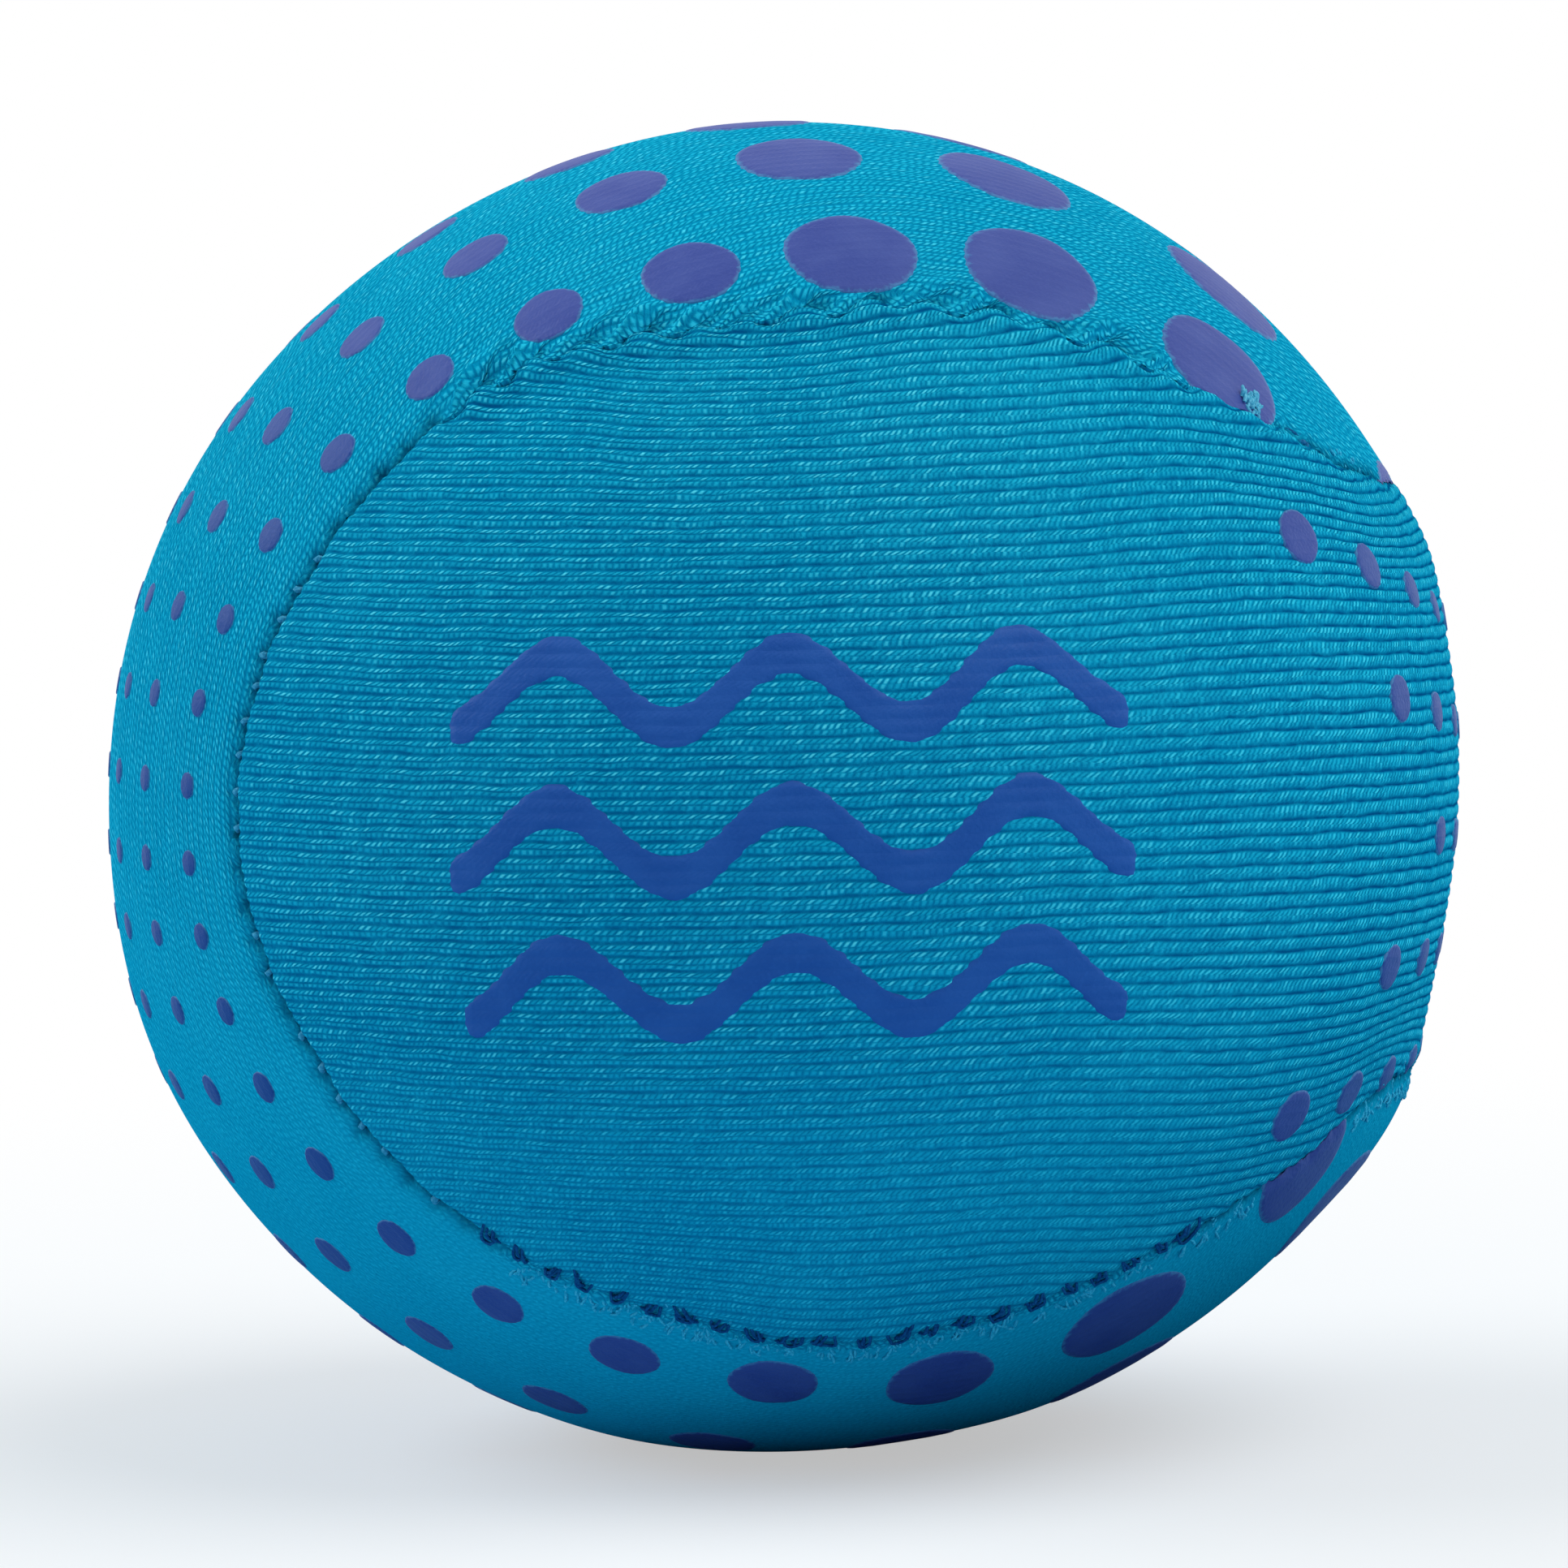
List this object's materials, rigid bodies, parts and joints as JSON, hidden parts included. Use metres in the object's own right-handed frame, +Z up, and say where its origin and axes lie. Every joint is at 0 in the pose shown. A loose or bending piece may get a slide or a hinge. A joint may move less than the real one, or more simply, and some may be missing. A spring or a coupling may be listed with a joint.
{
  "type": "skim ball",
  "caption": "Soft ball that skips over water: a springy gel core sewn into a stretch-knit cover of matching panels with raised grip dots.",
  "frame": {"origin": "centre of the ball, at its centroid", "axes": "+Z up out of the resting flat, -Y out of the clear front, +X through the waist of the front and back panel"},
  "size_m": [0.0605, 0.0605, 0.0596],
  "materials": {
    "gel": "soft foamed gel, matte",
    "knit": "stretched swim knit, fine ribs, slight sheen",
    "thread": "polyester sewing thread",
    "grip_ink": "raised matte silicone ink"
  },
  "bodies": {
    "root": {"gel_core": "gel", "front_back_panel": "knit", "top_bottom_panel": "knit", "needle_thread": "thread", "edge_thread": "thread", "closing_thread": "thread", "top_grip_dots": "grip_ink", "bottom_grip_dots": "grip_ink", "left_grip_dots": "grip_ink", "right_grip_dots": "grip_ink", "back_grip_dots": "grip_ink", "front_grip_waves": "grip_ink"}
  },
  "joints": []
}
